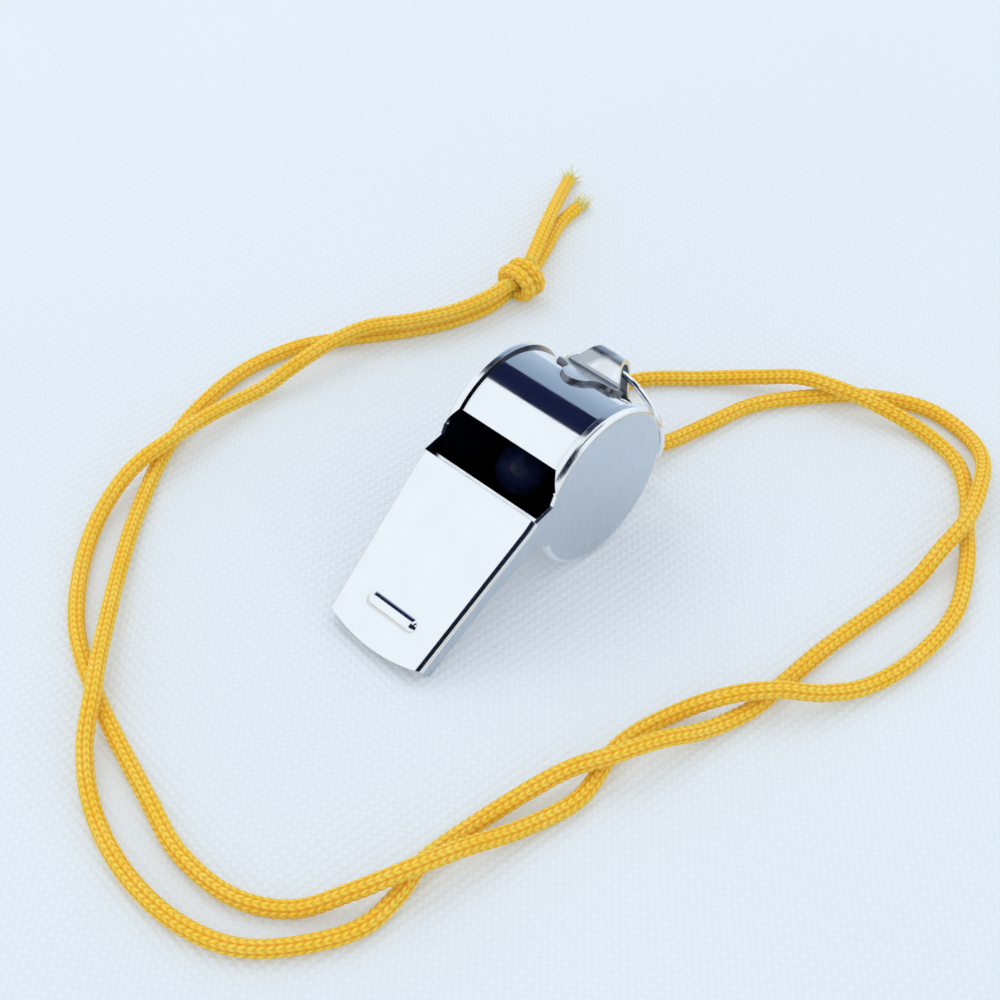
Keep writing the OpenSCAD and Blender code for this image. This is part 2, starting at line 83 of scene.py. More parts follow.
LAY_B = [
    (1.36, -0.05, 1.05), (1.65, -0.3, 0.8), (2, -0.42, 0.2), (2.7, -0.6, 0),
    (3.55, -0.85, 0), (4.25, -1.35, 0), (4.8, -1.9, 0), (5.2, -2.75, 0),
    (5.15, -3.4, 0), (4.75, -3.95, 0.6), (4.1, -4.3, 1.1), (3.45, -4.5, 1.1),
    (2.9, -4.5, 0.65), (2.2, -4.5, 0), (0.5, -4.3, 0), (-0.3, -4.25, 0),
    (-0.9, -4.2, 0), (-1.55, -4, 0.2), (-2.15, -3.75, 0.9), (-2.75, -3.5, 1.15),
    (-3.25, -3.2, 0.8), (-4.7, -2.8, 0), (-5.3, -2.75, 0), (-5.75, -2.85, 0),
    (-6.3, -2.85, 0), (-6.95, -2.5, 0), (-7.45, -2, 0), (-7.7, -1.3, 0),
    (-7.7, -0.35, 0), (-7.4, 0.65, 0), (-6.95, 1.35, 0.5), (-6.4, 1.85, 1.1),
    (-5.8, 2.45, 0.75), (-4.15, 3.9, 0), (-2.8, 4.75, 0), (-1.9, 5.05, 0),
    (-0.95, 5.15, 0), (-0.1, 4.95, 0), (0.35, 4.68, 0), (0.8, 4.36, 0),
    (1.3, 4, 0), (1.9, 3.67, 0), (2.5, 3.5, 0), (2.95, 3.5, 0),
]
LAY_TAIL_A = [
    (3.5, 3.52, 1), (4.18, 3.87, 1), (4.62, 4.1, 0.92), (5.3, 4.46, 0.45), (5.8, 4.72, 0),
]
LAY_TAIL_B = [(3.55, 3.55, 0), (4.2, 3.8, 0), (4.85, 4.06, 0), (5.38, 4.14, 0)]
# The way in which the cord runs through the ring.
THREAD_WAY = Vector((1, -1, 0)).normalized()
# Points worked out in each span of a smooth line before they are spaced evenly.
SPAN_STEPS = 24
# Distance between two rings of the cord's skin.
SKIN_STEP = 0.21 * MM

# Stitches: how far each leans, its lowest height, and the crease in the middle of a row.
STITCH_SLANT = 1.2
STITCH_FLOOR = 0.1
CREASE_DEPTH, CREASE_WIDTH = 0.45, 0.1

# Loose threads of the frayed ends: rings and sides of each, and the least height of its middle.
THREAD_RINGS, THREAD_SIDES = 5, 3
THREAD_REST = 0.12 * MM

# Knot, in millimetres about its own centre: the two strands that run through it, then the
# two turns that wrap them. Its yarn is drawn a little tighter than the cord's.
KNOT_PLACE = (3.2, 3.5)
KNOT_TURN = math.radians(-20)
KNOT_RUNS = [
    [(-3.32, -2, 3.72), (-2.55, -1.78, 3.72), (-1.4, -1.3, 3.2), (0, -0.4, 2.9),
     (1.5, 0.4, 3.2), (2.75, 1.21, 3.6), (3.3, 1.8, 3.6)],
    [(-3.1, -1.13, 1.2), (-2.35, -0.86, 1.2), (-1, -0.3, 1.3), (0.5, 0.3, 1.3),
     (2, 1, 1.25), (3.12, 1.67, 1.2), (3.6, 2.1, 1.2)],
]
WRAP_OFFSETS = (-1.12, 1.12)
WRAP_CENTRE = (0.2, -1, 3.15)
WRAP_HALF_WIDTH, WRAP_HALF_HEIGHT = 2.55, 1.95
WRAP_WAY = (0.934, 0.357)
WRAP_STEPS = 10
KNOT_STEP = 0.25 * MM
KNOT_TIGHTNESS = 0.97

# Camera, as fitted to the whistle's edges in the photograph.
CAMERA_PLACE = (-0.1197, -0.11166, 0.18198)
CAMERA_TARGET = (0.0073275, 0.006302, 0)
CAMERA_LENS, CAMERA_SENSOR = 64.8, 36

# Bounds that part the faces of the metal and mark where shade is painted on it. Depths and
# heights are measured from the barrel's radius, x and z from its axis.
CHAMBER_DEPTH, CHAMBER_HALF_WIDTH = 0.85 * MM, 9.6 * MM
WALL_HEIGHT = 0.4 * MM
RIM_SHADE_FADE = (5 * MM, 9 * MM)
LEDGE_X, LEDGE_Y, LEDGE_Z = (-14.6 * MM, -9.6 * MM), 8.6 * MM, 0.3 * MM
FOOT_HEIGHT, SEAM_SHADE_HEIGHT = 0.85 * MM, 0.28 * MM
FAR_SIDE_HEIGHT, FAR_SIDE_RISE, FAR_SIDE_RUN = 1 * MM, 5 * MM, 4 * MM
CREVICE_REACH = 0.9 * MM

# Colours of the surroundings, and of the metal where little light reaches it.
SHADOW_COLOUR = (0.09, 0.11, 0.2)
NAVY, DARK, SLATE = (0.01, 0.014, 0.05), (0.01, 0.014, 0.03), (0.34, 0.4, 0.47)
WALL_NEAR, WALL_FAR = (0.36, 0.44, 0.54), (0.62, 0.7, 0.78)
SKY_LIGHT, SKY_SEEN = (0.9, 0.95, 1.0), (0.93, 0.97, 1.0)

# Cards that the metal mirrors: name, sky directions (x, z) of the spine, span in y, distance,
# and the colours at the spine's two ends.
CARDS = (
    ("card_back", [(0.06, 0.89), (0.24, 0.84), (0.42, 0.76), (0.56, 0.7)],
     (0.05, 0.95), 0.62, NAVY, NAVY),
    ("card_wall", [(0.555, 0.705), (0.72, 0.52), (0.84, 0.34), (0.93, 0.1), (0.94, -0.02)],
     (0.05, 1.1), 0.63, WALL_NEAR, WALL_FAR),
    ("card_room", [(-0.75, 0.45), (-0.6, 0.64), (-0.42, 0.8), (-0.2, 0.88)],
     (-1.9, 0.16), 0.7, DARK, DARK),
    ("card_low", [(-0.75, 0.45), (-0.6, 0.64), (-0.42, 0.8), (0.1, 0.88)],
     (-9, -1.7), 0.72, SLATE, SLATE),
    ("card_lens", [(-0.62, 0.64), (-0.3, 0.84), (0.1, 0.89), (0.5, 0.74)],
     (-0.6, -0.32), 0.74, DARK, DARK),
)
CARD_ROWS = 8
CLOTH_HALF = 8
CLOTH_DROP = 0.02 * MM


class WhistleLook(bpy.types.PropertyGroup):
    """Colours and finish of the metal, the pea and the cord."""

    plate_colour: FloatVectorProperty(
        name="Plate colour", description="Colour of the bright plating",
        subtype="COLOR", size=3, min=0, max=1, default=(0.9, 0.93, 0.97))
    # Painted shade: the flat sides take this darker colour so that they mirror less light.
    shaded_side_colour: FloatVectorProperty(
        name="Side colour", description="Colour of the duller flat sides",
        subtype="COLOR", size=3, min=0, max=1, default=(0.6, 0.65, 0.71))
    # Painted shade in the seams behind the rims, at the window ledge and under the bail's feet.
    crevice_shade_colour: FloatVectorProperty(
        name="Crevice colour", description="Colour of the metal in seams and behind the rims",
        subtype="COLOR", size=3, min=0, max=1, default=(0.02, 0.024, 0.045))
    # Painted shade on the metal inside the chamber.
    chamber_shade_colour: FloatVectorProperty(
        name="Chamber colour", description="Colour of the dull metal inside the chamber",
        subtype="COLOR", size=3, min=0, max=1, default=(0.045, 0.055, 0.14))
    pea_colour: FloatVectorProperty(
        name="Pea colour", description="Colour of the pea",
        subtype="COLOR", size=3, min=0, max=1, default=(0.014, 0.019, 0.075))
    cord_colour: FloatVectorProperty(
        name="Cord colour", description="Colour of the cord's raised stitches",
        subtype="COLOR", size=3, min=0, max=1, default=(1.0, 0.69, 0.05))
    # Painted shade between the cord's stitches.
    cord_hollow_shade_colour: FloatVectorProperty(
        name="Cord hollow colour", description="Colour between the cord's stitches",
        subtype="COLOR", size=3, min=0, max=1, default=(0.86, 0.36, 0.004))
    tuft_colour: FloatVectorProperty(
        name="Tuft colour", description="Colour of the frayed ends",
        subtype="COLOR", size=3, min=0, max=1, default=(0.95, 0.74, 0.2))
    cloth_colour: FloatVectorProperty(
        name="Cloth colour", description="Colour of the cloth that the whistle lies on",
        subtype="COLOR", size=3, min=0, max=1, default=(0.757, 0.812, 0.865))


class WhistleSizes(bpy.types.PropertyGroup):
    """Sizes of the cord, its stitches and its frayed ends."""

    cord_diameter: FloatProperty(
        name="Cord diameter", description="Diameter of the knitted cord",
        unit="LENGTH", default=2.4 * MM, min=2 * MM, max=2.5 * MM)
    stitch_length: FloatProperty(
        name="Stitch length", description="Length of one stitch along the cord",
        unit="LENGTH", default=1.05 * MM, min=0.8 * MM, max=2 * MM)
    stitch_rows: IntProperty(
        name="Stitch rows", description="Rows of stitches round the cord",
        default=6, min=4, max=9)
    stitch_depth: FloatProperty(
        name="Stitch depth", description="Depth of the hollows between the stitches",
        unit="LENGTH", default=0.24 * MM, min=0, max=0.35 * MM)
    tuft_length: FloatProperty(
        name="Tuft length", description="Length of the frayed threads at each loose end",
        unit="LENGTH", default=2.1 * MM, min=1 * MM, max=6 * MM)
    tuft_threads: IntProperty(
        name="Tuft threads", description="Number of frayed threads at each loose end",
        default=90, min=10, max=120)


def look():
    """Colours set in the panel."""
    return bpy.context.scene.whistle_look


def sizes():
    """Sizes set in the panel."""
    return bpy.context.scene.whistle_sizes


# Node trees -----------------------------------------------------------------------------


class Finish:
    """A new material with short calls for adding and joining its nodes."""

    def __init__(self, name):
        self.material = bpy.data.materials.new(name)
        self.material.use_nodes = True
        self.nodes = self.material.node_tree.nodes
        self.links = self.material.node_tree.links
        self.shader = self.nodes["Principled BSDF"]

    def add(self, kind, inputs=None, **settings):
        """New node with its settings, and its inputs set or joined."""
        node = self.nodes.new("ShaderNode" + kind)
        for key, value in settings.items():
            setattr(node, key, value)
        for key, value in (inputs or {}).items():
            self.set(node, key, value)
        return node

    def set(self, node, key, value):
        """Join a socket to an input, or set the input's value."""
        if isinstance(value, bpy.types.NodeSocket):
            self.links.new(value, node.inputs[key])
        else:
            node.inputs[key].default_value = value

    def math(self, operation, a, b=0.0):
        """Result of one sum or comparison."""
        return self.add("Math", {0: a, 1: b}, operation=operation).outputs[0]

    def spread(self, value, low, high, start, end):
        """Map a value between two limits to another span, and hold it there."""
        inputs = {0: value, 1: low, 2: high, 3: start, 4: end}
        return self.add("MapRange", inputs).outputs[0]

    def noise(self, place, scale, detail, **inputs):
        """Noise factor at a place."""
        inputs.update({"Vector": place, "Scale": scale, "Detail": detail})
        return self.add("TexNoise", inputs).outputs[0]

    def ramp(self, factor, stops):
        """Colour by a factor, from stops of place and colour."""
        node = self.add("ValToRGB", {0: factor})
        elements = node.color_ramp.elements
        while len(elements) < len(stops):
            elements.new(0.5)
        for element, (place, colour) in zip(elements, stops):
            element.position = place
            element.color = tuple(colour) + (1,)
        return node.outputs[0]

    def mix(self, factor, a, b, blend="MIX"):
        """Two colours mixed by a factor."""
        node = self.add("Mix", data_type="RGBA", blend_type=blend)
        # Sockets 6, 7 and 2 are the ones for colours.
        self.set(node, 0, factor)
        self.set(node, 6, a)
        self.set(node, 7, b)
        return node.outputs[2]

    def bump(self, height, strength, distance, normal=None):
        """Normal with a fine relief."""
        node = self.add("Bump", {"Height": height, "Strength": strength, "Distance": distance})
        if normal is not None:
            self.set(node, "Normal", normal)
        return node.outputs[0]


def rgba(colour):
    """Colour with full alpha."""
    return tuple(colour) + (1,)


def barrel_place(f, place):
    """Sockets at a place: its y, its x and z from the barrel's axis, and its distance from it."""
    split = f.add("SeparateXYZ", {0: place})
    x = f.math("SUBTRACT", split.outputs[0], BARREL.x)
    z = f.math("SUBTRACT", split.outputs[2], BARREL.z)
    radius = f.math("SQRT", f.math("ADD", f.math("MULTIPLY", x, x), f.math("MULTIPLY", z, z)))
    return split.outputs[1], x, z, radius


def facing(f):
    """Sockets of the x, y and z of the way that the skin faces."""
    return f.add("SeparateXYZ", {0: f.add("TexCoord").outputs["Normal"]}).outputs


def inside_chamber(f, place):
    """1 on the metal that faces the chamber, 0 on all outer faces."""
    y, _, _, radius = barrel_place(f, place)
    near_axis = f.math("LESS_THAN", radius, BARREL_RADIUS - CHAMBER_DEPTH)
    between = f.math("LESS_THAN", f.math("ABSOLUTE", y), CHAMBER_HALF_WIDTH)
    return f.math("MULTIPLY", near_axis, between)


def side_plate_parts(f, place):
    """Masks of a side plate: its flat sides, which take a darker colour as painted shade, and the
    painted shade in the seams behind its rim and at the window.
    """
    y, x, z, radius = barrel_place(f, place)
    facing_y = facing(f)[1]
    steep = f.math("ABSOLUTE", facing_y)
    disc = f.spread(steep, 0.88, 0.98, 0.0, 1.0)
    wall = f.math("GREATER_THAN", radius, BARREL_RADIUS + WALL_HEIGHT)
    flat = f.math("MAXIMUM", disc, wall)
    outward = f.math("MULTIPLY", facing_y, f.math("SIGN", y))
    # The painted shade in the seam behind the rim fades out towards the bail.
    ahead = f.spread(x, *RIM_SHADE_FADE, 1.0, 0.0)
    inward = f.math("MULTIPLY", f.math("LESS_THAN", outward, -0.5), ahead)
    # Painted shade on the ledge of the far plate beside the window.
    ledge = f.math("LESS_THAN", steep, 0.6)
    for value, limit, side in (
            (y, LEDGE_Y, "GREATER_THAN"), (z, LEDGE_Z, "GREATER_THAN"),
            (x, LEDGE_X[0], "GREATER_THAN"), (x, LEDGE_X[1], "LESS_THAN")):
        ledge = f.math("MULTIPLY", ledge, f.math(side, value, limit))
    return flat, f.math("MAXIMUM", inward, ledge)


def bail_parts(f, place):
    """Masks of the bail: painted shade on its far side and cut edges, and a painted shadow line
    under its feet.
    """
    y, x, z, radius = barrel_place(f, place)
    way = facing(f)
    dot = f.math("ADD", f.math("MULTIPLY", x, way[0]), f.math("MULTIPLY", z, way[2]))
    cut = f.math("MULTIPLY", f.math("LESS_THAN", f.math("DIVIDE", dot, radius), 0.75),
                 f.math("LESS_THAN", radius, BARREL_RADIUS + FOOT_HEIGHT))
    seam = f.math("MULTIPLY", cut, f.math("LESS_THAN", radius, BARREL_RADIUS + SEAM_SHADE_HEIGHT))
    # The painted shade of the far side begins along a slant, as the crease in the strap does.
    height = f.math("SUBTRACT", radius, BARREL_RADIUS + FAR_SIDE_HEIGHT)
    slant = f.math("ADD", f.math("DIVIDE", y, FAR_SIDE_RUN),
                   f.math("DIVIDE", height, FAR_SIDE_RISE))
    far = f.spread(slant, 0.25, 0.5, 0.0, 1.0)
    return f.math("MAXIMUM", far, cut), seam


def scaled(colour, factor):
    """Colour made darker or lighter, up to 1."""
    return [min(1, c * factor) for c in colour]


def plated_metal(name, streak_scale, relief, roughness, parts=None,
                 chamber=True, edge=0.07 * MM, shade=0.55):
    """Bright plating with polishing streaks, soft clouding and painted shade in its crevices.

    parts names the masks that the piece needs, chamber paints shade on its faces in the chamber,
    edge is the radius of its rounded edges and shade the strength of the painted shade in its
    crevices.
    """
    f = Finish(name)
    place = f.add("TexCoord").outputs["Object"]
    stretched = f.add("Mapping", {0: place, "Scale": streak_scale}).outputs[0]
    streaks = f.noise(stretched, scale=1.0, detail=4.0)
    clouds = f.noise(place, scale=260.0, detail=3.0)
    crevice = f.add("AmbientOcclusion", {"Distance": CREVICE_REACH}, samples=8, only_local=False)
    bright, side = look().plate_colour, look().shaded_side_colour
    plate = f.ramp(clouds, [(0.3, scaled(bright, 0.965)), (0.7, bright)])
    seams = None
    if parts == "side":
        flat, seams = side_plate_parts(f, place)
        # Painted shade: the flat sides take a darker colour.
        shaded = f.ramp(streaks, [(0.35, scaled(side, 0.97)), (0.65, scaled(side, 1.04))])
        plate = f.mix(flat, plate, shaded)
    elif parts == "bail":
        # Painted shade on the bail's far side and cut edges, and a painted shadow line under its
        # feet.
        shaded, seam = bail_parts(f, place)
        seams = f.math("MULTIPLY", seam, 0.62)
        plate = f.mix(shaded, plate, rgba(scaled(side, 0.84)))
    # Painted shade where the metal is hemmed in, taken from ambient occlusion.
    depth = f.math("POWER", crevice.outputs["AO"], shade)
    colour = f.mix(depth, rgba(SHADOW_COLOUR), plate)
    # Painted shade in the seams behind the rims, on the window ledge and under the bail.
    if seams is not None:
        colour = f.mix(seams, colour, rgba(look().crevice_shade_colour))
    rough = f.spread(streaks, 0.3, 0.75, roughness * 0.75, roughness * 1.3)
    if chamber:
        # Painted shade on the faces inside the chamber; they are also rougher.
        chamber_shade = inside_chamber(f, place)
        colour = f.mix(chamber_shade, colour, rgba(look().chamber_shade_colour))
        rough = f.math("ADD", rough, f.math("MULTIPLY", chamber_shade, 0.22))
    rounded = f.add("Bevel", {"Radius": edge}, samples=6)
    f.set(f.shader, "Base Color", colour)
    f.set(f.shader, "Roughness", rough)
    f.set(f.shader, "Normal", f.bump(streaks, relief, 0.02 * MM, rounded.outputs[0]))
    f.set(f.shader, "Metallic", 1.0)
    return f.material


def glossy_pea():
    """Dark moulded ball with faint paler swirls as painted reflection, and small scuffs."""
    f = Finish("pea_moulded")
    place = f.add("TexCoord").outputs["Object"]
    reflection_swirl = f.noise(place, scale=420.0, detail=3.0, Distortion=1.6)
    scuffs = f.noise(place, scale=2600.0, detail=4.0)
    base = look().pea_colour
    # Painted reflection: paler swirls stand in for soft reflections on the ball.
    pale = (base[0] * 2.2, base[1] * 2.6, base[2] * 2.4)
    f.set(f.shader, "Base Color", f.ramp(reflection_swirl, [(0.35, base), (0.62, pale)]))
    f.set(f.shader, "Roughness", f.spread(scuffs, 0.35, 0.7, 0.26, 0.42))
    f.set(f.shader, "Normal", f.bump(scuffs, 0.25, 0.02 * MM))
    f.set(f.shader, "Coat Weight", 0.1)
    f.set(f.shader, "Coat Roughness", 0.25)
    return f.material


def knitted_yarn():
    """Golden yarn with painted shade between the stitches and a painted highlight on their
    crests, with fine threads and a soft sheen.
    """
    f = Finish("cord_knitted")
    place = f.add("TexCoord").outputs["Object"]
    height = f.add("Attribute", attribute_name="stitch").outputs["Fac"]
    fibres = f.noise(place, scale=5200.0, detail=5.0)
    patches = f.noise(place, scale=210.0, detail=2.0)
    raised, hollow_shade = look().cord_colour, look().cord_hollow_shade_colour
    worn = (raised[0], raised[1] * 1.1, raised[2] * 2.2)
    # Painted highlight: the crests of the stitches are paler.
    crest_highlight = (raised[0], raised[1] * 1.16, raised[2] * 4.5)
    top = f.ramp(patches, [(0.35, raised), (0.7, worn)])
    # Painted shade in the hollows between the stitches.
    level = f.spread(height, 0.12, 0.7, 0.0, 1.0)
    pale = f.spread(height, 0.8, 1.0, 0.0, 0.8)
    colour = f.mix(level, rgba(hollow_shade), f.mix(pale, top, rgba(crest_highlight)))
    shade = f.spread(fibres, 0.3, 0.7, 0.9, 1.0)
    grey = f.add("CombineColor", {0: shade, 1: shade, 2: shade}).outputs[0]
    f.set(f.shader, "Base Color", f.mix(1.0, colour, grey, blend="MULTIPLY"))
    f.set(f.shader, "Normal", f.bump(fibres, 0.5, 0.06 * MM))
    for key, value in (
            ("Roughness", 0.62), ("Specular IOR Level", 0.3),
            ("Sheen Weight", 0.2), ("Sheen Roughness", 0.45),
            ("Sheen Tint", (1.0, 0.85, 0.5, 1)),
            ("Subsurface Weight", 0.45), ("Subsurface Scale", 1.2 * MM),
            ("Subsurface Radius", (1.0, 0.4, 0.06))):
        f.set(f.shader, key, value)
    return f.material


def loose_thread():
    """Pale single threads of the frayed ends."""
    f = Finish("tuft_threads")
    place = f.add("TexCoord").outputs["Object"]
    colour = f.ramp(f.noise(place, scale=900.0, detail=2.0), [
        (0.3, look().tuft_colour), (0.75, (0.97, 0.9, 0.55))])
    f.set(f.shader, "Base Color", colour)
    f.set(f.shader, "Roughness", 0.6)
    f.set(f.shader, "Subsurface Weight", 0.3)
    f.set(f.shader, "Subsurface Scale", 0.3 * MM)
    return f.material


def woven_cloth():
    """Pale woven cloth under the whistle, with painted shade in the hollows of its weave."""
    f = Finish("cloth_woven")
    place = f.add("TexCoord").outputs["Object"]
    turned = f.add("Mapping", {0: place, "Rotation": (0, 0, math.radians(6.4))}).outputs[0]
    split = f.add("SeparateXYZ", {0: turned})
    threads = [f.math("ABSOLUTE", f.math("SINE", f.math("MULTIPLY", value, math.pi / pitch)))
               for value, pitch in ((split.outputs[0], 1.1 * MM), (split.outputs[1], 1.2 * MM))]
    weave = f.math("MULTIPLY", *threads)
    tint = scaled(look().cloth_colour, 0.79)
    colour = f.ramp(f.noise(place, scale=9.0, detail=3.0), [
        (0.3, scaled(tint, 0.98)), (0.7, scaled(tint, 1.02))])
    # Painted shade between the threads of the weave.
    weave_shade = f.math("MULTIPLY", f.math("SUBTRACT", 1.0, weave), 0.06)
    f.set(f.shader, "Base Color", f.mix(weave_shade, colour, rgba(scaled(tint, 0.5))))
    f.set(f.shader, "Normal", f.bump(weave, 0.6, 0.22 * MM))
    f.set(f.shader, "Roughness", 0.9)
    f.set(f.shader, "Emission Color", rgba(look().cloth_colour))
    f.set(f.shader, "Emission Strength", 0.26)
    return f.material


def card_colour(name, near, far):
    """Flat colour of a card, or a fade along it."""
    f = Finish(name)
    if near == far:
        f.set(f.shader, "Base Color", rgba(near))
    else:
        along = f.add("Attribute", attribute_name="fade").outputs["Fac"]
        f.set(f.shader, "Base Color", f.ramp(along, [(0.1, near), (0.9, far)]))
    f.set(f.shader, "Roughness", 1.0)
    f.set(f.shader, "Specular IOR Level", 0.0)
    return f.material


# Mesh work ------------------------------------------------------------------------------


def route(lay):
    """Points of a lay in metres."""
    thick = sizes().cord_diameter
    return [Vector((BARREL.x + x * LAY_UNIT, y * LAY_UNIT, thick / 2 + level * thick))
            for x, y, level in lay]


def smooth_line(points, step, first=None):
    """Even points along a smooth curve through the given points, and the curve's length.

    first is the way in which the curve starts; without it the first span gives the way.
    """
    start, end = points[1] - points[0], points[-1] - points[-2]
    if first:
        start = first * start.length
    p = [points[0] - start] + points + [points[-1] + end]
    dense = []
    for i in range(1, len(p) - 2):
        gaps = [max((p[k + 1] - p[k]).length, 1e-6) ** 0.5 for k in (i - 1, i, i + 1)]
        m1 = (p[i] - p[i - 1]) / gaps[0] - (p[i + 1] - p[i - 1]) / (gaps[0] + gaps[1]) \
            + (p[i + 1] - p[i]) / gaps[1]
        m2 = (p[i + 1] - p[i]) / gaps[1] - (p[i + 2] - p[i]) / (gaps[1] + gaps[2]) \
            + (p[i + 2] - p[i + 1]) / gaps[2]
        m1, m2 = m1 * gaps[1], m2 * gaps[1]
        for k in range(SPAN_STEPS):
            t = k / SPAN_STEPS
            dense.append(p[i] * (2 * t ** 3 - 3 * t ** 2 + 1) + m1 * (t ** 3 - 2 * t ** 2 + t)
                         + p[i + 1] * (3 * t ** 2 - 2 * t ** 3) + m2 * (t ** 3 - t ** 2))
    dense.append(p[-2])
    lengths = [0.0]
    for a, b in zip(dense, dense[1:]):
        lengths.append(lengths[-1] + (b - a).length)
    count = max(2, round(lengths[-1] / step))
    even, k = [], 0
    for i in range(count + 1):
        want = lengths[-1] * i / count
        while k < len(dense) - 2 and lengths[k + 1] < want:
            k += 1
        span = lengths[k + 1] - lengths[k]
        even.append(dense[k].lerp(dense[k + 1], (want - lengths[k]) / span if span else 0))
    return even, lengths[-1]


def carried_sides(line):
    """The way at each point of a line, and a side of it that doesn't twist along the line."""
    ways = [(line[min(i + 1, len(line) - 1)] - line[max(i - 1, 0)]).normalized()
            for i in range(len(line))]
    side = ways[0].cross(Vector((0, 0, 1))).normalized()
    sides = []
    for way in ways:
        side = (side - way * side.dot(way)).normalized()
        sides.append(side.copy())
    return ways, sides


def knit_height(turn, along):
    """Height of the stitches, 0 to 1, at a turn round the cord and a length along it."""
    row = turn * sizes().stitch_rows
    across = abs(row - math.floor(row) - 0.5)
    phase = along / sizes().stitch_length + across * STITCH_SLANT
    bead = STITCH_FLOOR + (1 - STITCH_FLOOR) * abs(math.sin(math.pi * phase)) ** 0.8
    valley = math.cos(math.pi * across * 0.96) ** 0.6
    crease = 1 - CREASE_DEPTH * math.exp(-(across / CREASE_WIDTH) ** 2)
    return bead * valley * crease


def knit_tube(name, line, material, thick=None, taper=None, sides=36, shift=0.0):
    """Tube along a line whose skin is raised into rows of slanted stitches.

    taper gives the thickness by the part of the line passed, and shift moves the stitches.
    """
    radius = (thick or sizes().cord_diameter) / 2
    depth = sizes().stitch_depth * radius / (sizes().cord_diameter / 2)
    ways, across = carried_sides(line)
    verts, heights, faces = [], [], []
    along = shift
    for i, point in enumerate(line):
        if i:
            along += (line[i] - line[i - 1]).length
        scale = taper(i / (len(line) - 1)) if taper else 1.0
        up = across[i].cross(ways[i])
        for k in range(sides):
            turn = k / sides
            height = knit_height(turn, along)
            r = (radius - depth * (1 - height)) * scale
            angle = 2 * math.pi * turn
            verts.append(point + across[i] * (r * math.cos(angle)) + up * (r * math.sin(angle)))
            heights.append(height)
    for i in range(len(line) - 1):
        for k in range(sides):
            a, b = i * sides + k, i * sides + (k + 1) % sides
            faces.append((a, b, b + sides, a + sides))
    faces.append(tuple(range(sides - 1, -1, -1)))
    faces.append(tuple((len(line) - 1) * sides + k for k in range(sides)))
    return mesh_piece(name, verts, faces, material, stitch=heights)


def mesh_piece(name, verts, faces, material, **layers):
    """New smooth object from points and faces, with a named value per point for materials."""
    mesh = bpy.data.meshes.new(name)
    mesh.from_pydata([tuple(v) for v in verts], [], faces)
    for layer_name, values in layers.items():
        layer = mesh.attributes.new(layer_name, "FLOAT", "POINT")
        layer.data.foreach_set("value", values)
    mesh.polygons.foreach_set("use_smooth", [True] * len(mesh.polygons))
    mesh.validate()
    mesh.update()
    mesh.materials.append(material)
    piece = bpy.data.objects.new(name, mesh)
    bpy.context.scene.collection.objects.link(piece)
    return piece


def joined(name, pieces):
    """One object from several, kept under one name."""
    with bpy.context.temp_override(
            active_object=pieces[0], selected_editable_objects=pieces):
        bpy.ops.object.join()
    pieces[0].name = name
    return pieces[0]


def thread_faces(base):
    """Faces of one closed thread whose points start at a given number."""
    faces = []
    for i in range(THREAD_RINGS - 1):
        ring = base + i * THREAD_SIDES
        for k in range(THREAD_SIDES):
            a, b = ring + k, ring + (k + 1) % THREAD_SIDES
            faces.append((a, b, b + THREAD_SIDES, a + THREAD_SIDES))
    last = base + (THREAD_RINGS - 1) * THREAD_SIDES
    faces.append(tuple(base + k for k in reversed(range(THREAD_SIDES))))
    faces.append(tuple(last + k for k in range(THREAD_SIDES)))
    return faces


def tuft(name, end, way, material, seed):
    """Frayed threads that spread from a cut end of the cord."""
    rng = random.Random(seed)
    side = way.cross(Vector((0, 0, 1))).normalized()
    up = side.cross(way)
    radius = sizes().cord_diameter * 0.42
    verts, faces = [], []
    for _ in range(sizes().tuft_threads):
        angle, reach = rng.uniform(0, 2 * math.pi), math.sqrt(rng.random())
        out = side * math.cos(angle) + up * math.sin(angle)
        length = sizes().tuft_length * rng.uniform(0.55, 1.35)
        spread = rng.uniform(0.05, 0.5) * reach
        curl = side * rng.uniform(-0.2, 0.2) + up * rng.uniform(-0.2, 0.2)
        thick = rng.uniform(0.12, 0.19) * MM
        base = len(verts)
        for i in range(THREAD_RINGS):
            t = i / (THREAD_RINGS - 1)
            # Each thread starts inside the cut end, then spreads and curls towards its tip.
            centre = end + out * (radius * reach * 0.95) + way * (length * (t - 0.18)) \
                + out * (length * spread * t * t) + curl * (length * t * t * t)
            centre.z = max(centre.z, THREAD_REST)
            for k in range(THREAD_SIDES):
                a = 2 * math.pi * k / THREAD_SIDES
                verts.append(centre + (side * math.cos(a) + up * math.sin(a))
                             * thick * (1 - 0.6 * t))
        faces += thread_faces(base)
    return mesh_piece(name, verts, faces, material)


# Pieces ---------------------------------------------------------------------------------


class WHISTLE_OT_camera(bpy.types.Operator):
    """Set the camera at the photograph's angle"""

    bl_idname = "whistle.camera"
    bl_label = "Camera"

    def execute(self, context):
        data = bpy.data.cameras.new("camera")
        camera = bpy.data.objects.new("camera", data)
        context.scene.collection.objects.link(camera)
        camera.location = CAMERA_PLACE
        way = Vector(CAMERA_TARGET) - camera.location
        camera.rotation_euler = way.to_track_quat("-Z", "Y").to_euler()
        data.sensor_width = CAMERA_SENSOR
        data.lens = CAMERA_LENS
        data.clip_start = 0.005
        data.clip_end = 20
        context.scene.camera = camera
        return {"FINISHED"}


